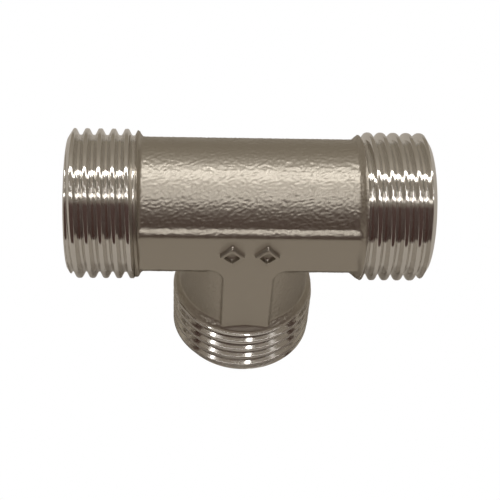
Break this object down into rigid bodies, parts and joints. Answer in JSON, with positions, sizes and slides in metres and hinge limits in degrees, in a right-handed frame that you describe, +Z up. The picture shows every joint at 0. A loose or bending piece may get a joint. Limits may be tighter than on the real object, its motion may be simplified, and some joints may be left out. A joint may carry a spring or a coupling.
{
  "type": "male threaded equal tee",
  "caption": "Nickel-plated brass pipe tee with a male G 1/2 parallel thread on every end, for joining a branch line to a straight water line.",
  "frame": {"origin": "crossing of the run's axis and the branch's axis", "axes": "+X along the run, -Z down the branch, -Y out of the front wrench pad, +Z up with the tee standing on its branch mouth"},
  "size_m": [0.0498, 0.0208, 0.0358],
  "materials": {
    "forged_nickel": "satin",
    "machined_nickel": "polished"
  },
  "bodies": {
    "root": {"forged_body": "forged_nickel", "left_threaded_end": "machined_nickel", "right_threaded_end": "machined_nickel", "branch_threaded_end": "machined_nickel"}
  },
  "joints": []
}
